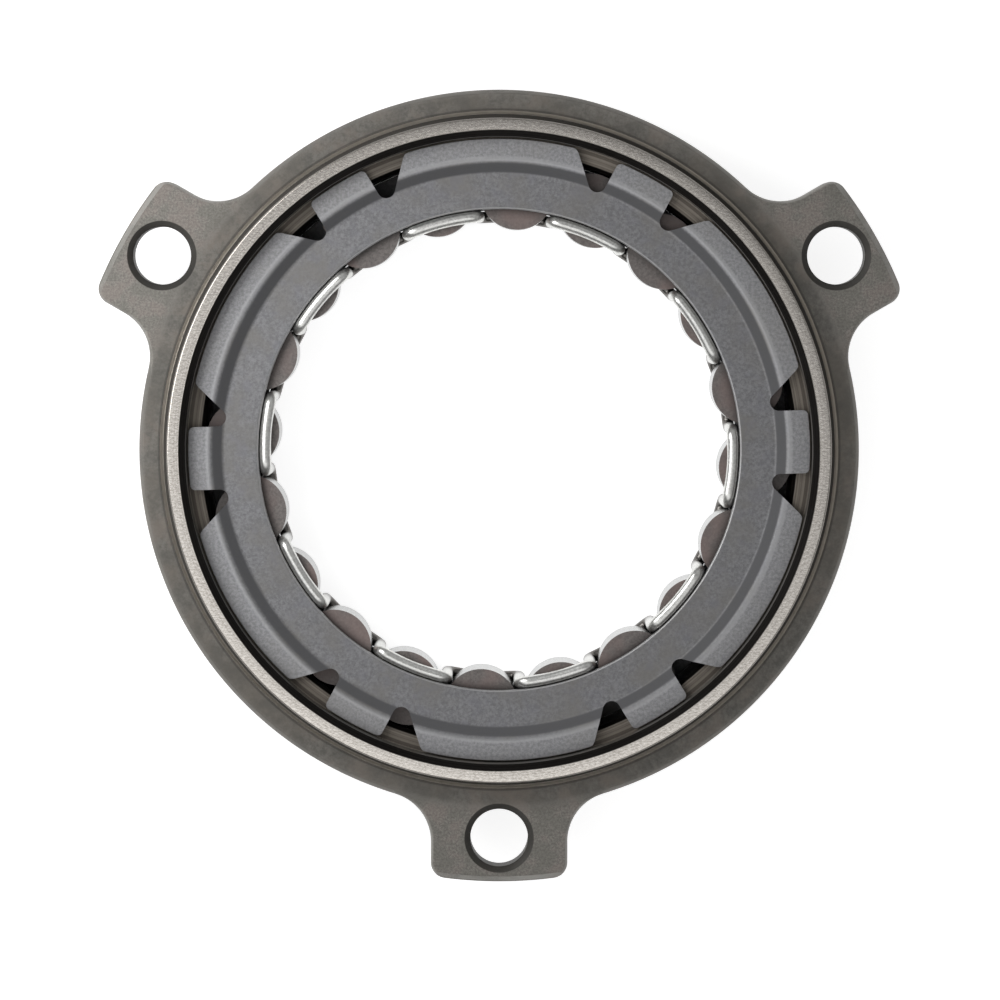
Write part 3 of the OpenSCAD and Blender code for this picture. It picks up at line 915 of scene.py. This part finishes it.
# %% Wire finish
WIRE_STEEL = (colour(206, 206, 203), colour(234, 234, 231))
REAR_WIRE_PAINTED_SHADE = colour(112, 109, 106)
WIRE_METAL = 0.95
WIRE_ROUGH = 0.26
WIRE_GRAIN_ROUGH = 0.12

wire_finish, tree, shader, place = finish("bright_spring_wire")
height = split(place)[1]
grain = noise(place, scale=4.0, detail=3)
bright = grain.rise(low=0.3, high=0.7).blend(*WIRE_STEEL)
# Painted shade darkens the wire towards the rear.
drive(tree, shader, "Base Color", height.rise(low=1.5, high=8.0).blend(REAR_WIRE_PAINTED_SHADE, bright))
shader.inputs["Metallic"].default_value = WIRE_METAL
drive(tree, shader, "Roughness", WIRE_ROUGH + grain * WIRE_GRAIN_ROUGH)

# %% [markdown]
# ## Put each piece in its place
# Every new piece stands for one CAD node. It rides on the same body, so that it moves with the joints, and
# it names the material slot that it takes its finish from.

# %% Replace the CAD nodes
def stand_in(piece, node, body, material):
    """Give a piece its finish and let it stand for a CAD node."""
    piece.data.materials.clear()
    piece.data.materials.append(material)
    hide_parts(node)
    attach(piece, body)


stand_in(race, "outer_race", "outer_race", race_finish)
stand_in(cage, "cage", "cage", cage_finish)
stand_in(spring, "meander_spring", "cage", wire_finish)
for number, piece in enumerate(sprags, start=1):
    node = f"sprag_{number:02d}"
    stand_in(piece, node, node, sprag_finish)
print("pieces placed:", len([race, cage, spring, *sprags]))

# %% [markdown]
# ## Floor
# The clutch lies on a white sheet. The floor's own colour is a pale grey, so that it throws less light up at
# the part. Where the camera, a glossy ray or a clear ray meets it, plain white light is added, so that it
# reads as paper white and still keeps the soft shadow of the part.

# %% White floor
FLOOR_METRES = 6
FLOOR_Z_METRES = -0.0001
PAPER = (0.55, 0.55, 0.55, 1)
PAPER_ROUGH = 0.8
PAPER_GLOW = 0.82
BLACK = (0, 0, 0, 1)
WHITE = (1, 1, 1, 1)

bpy.ops.object.select_all(action="DESELECT")
bpy.ops.mesh.primitive_plane_add(size=FLOOR_METRES, location=(0, 0, FLOOR_Z_METRES))
floor = bpy.context.object
floor.name = "floor"
floor_finish, tree, shader, _ = finish("white_paper")
shader.inputs["Base Color"].default_value = PAPER
shader.inputs["Roughness"].default_value = PAPER_ROUGH
rays = Signal(tree).node("ShaderNodeLightPath", {}, output="Is Camera Ray")
glossy = rays.node("ShaderNodeLightPath", {}, output="Is Glossy Ray")
clear = rays.node("ShaderNodeLightPath", {}, output="Is Transmission Ray")
seen = (rays + glossy + clear).smaller(1.0)
drive(tree, shader, "Emission Color", seen.blend(BLACK, WHITE))
shader.inputs["Emission Strength"].default_value = PAPER_GLOW
floor.data.materials.append(floor_finish)

# %% [markdown]
# ## Light
# The photograph was taken in a light tent: soft light from everywhere, more of it from the upper left, and
# a dark opening where the camera looks in. The world gives the tent as smooth gradients, because ground
# steel mirrors whatever stands above it. One soft lamp near the upper left gives the light its direction.

# %% World and lamp
ROOF_GLOW = 0.28
LENS_SIDE_GLOW = 0.85
OPENING_SIDE_GLOW = 0.3
OPENING_LOSS = 0.22
WALL_GLOW = 0.06
BRIGHT_WALL_GLOW = 0.32
LOW_GLOW = 1.2

world = bpy.data.worlds.new("light_tent")
bpy.context.scene.world = world
world.use_nodes = True
tree = world.node_tree
background = next(node for node in tree.nodes if node.type == "BACKGROUND")
direction = Signal(tree).node("ShaderNodeTexCoord", {}, output="Generated")


def towards(angle):
    """How far a direction points to one side, by that side's angle in degrees."""
    return direction.node("ShaderNodeVectorMath", {0: direction, 1: (*polar(1, angle), 0)},
                          output="Value", operation="DOT_PRODUCT")


up = direction.node("ShaderNodeSeparateXYZ", {0: direction}, output="Z")
lens_side = towards(angle=240).rise(low=-0.1, high=0.13)
roof = up.rise(low=0.5, high=0.9) * (ROOF_GLOW + lens_side * LENS_SIDE_GLOW)
roof = roof + up.rise(low=0.95, high=0.99) * (lens_side * OPENING_SIDE_GLOW - OPENING_LOSS)
walls = WALL_GLOW + towards(angle=45).rise(low=-0.7, high=1.0) * BRIGHT_WALL_GLOW
walls = walls * (1 - up.rise(low=0.6, high=0.95))
low_glow = towards(angle=245).rise(low=-0.5, high=1.0) * (1 - up.rise(low=0.05, high=0.25)) * LOW_GLOW
tent = walls + roof + low_glow
tree.links.new(tent.socket, background.inputs["Strength"])
background.inputs["Color"].default_value = WHITE


def soft_lamp(name, place, size, watts):
    """A square lamp that looks at the clutch, with its place and size in millimetres."""
    light = bpy.data.lights.new(name, "AREA")
    light.size = size * MM
    light.energy = watts
    lamp = bpy.data.objects.new(name, light)
    bpy.context.scene.collection.objects.link(lamp)
    lamp.location = Vector(place) * MM
    lamp.visible_camera = False
    lamp.rotation_euler = (-Vector(place)).to_track_quat("-Z", "Y").to_euler()


soft_lamp("key_lamp", place=(-98, 44, 112), size=90, watts=0.125)
bpy.context.scene.view_settings.view_transform = "Standard"
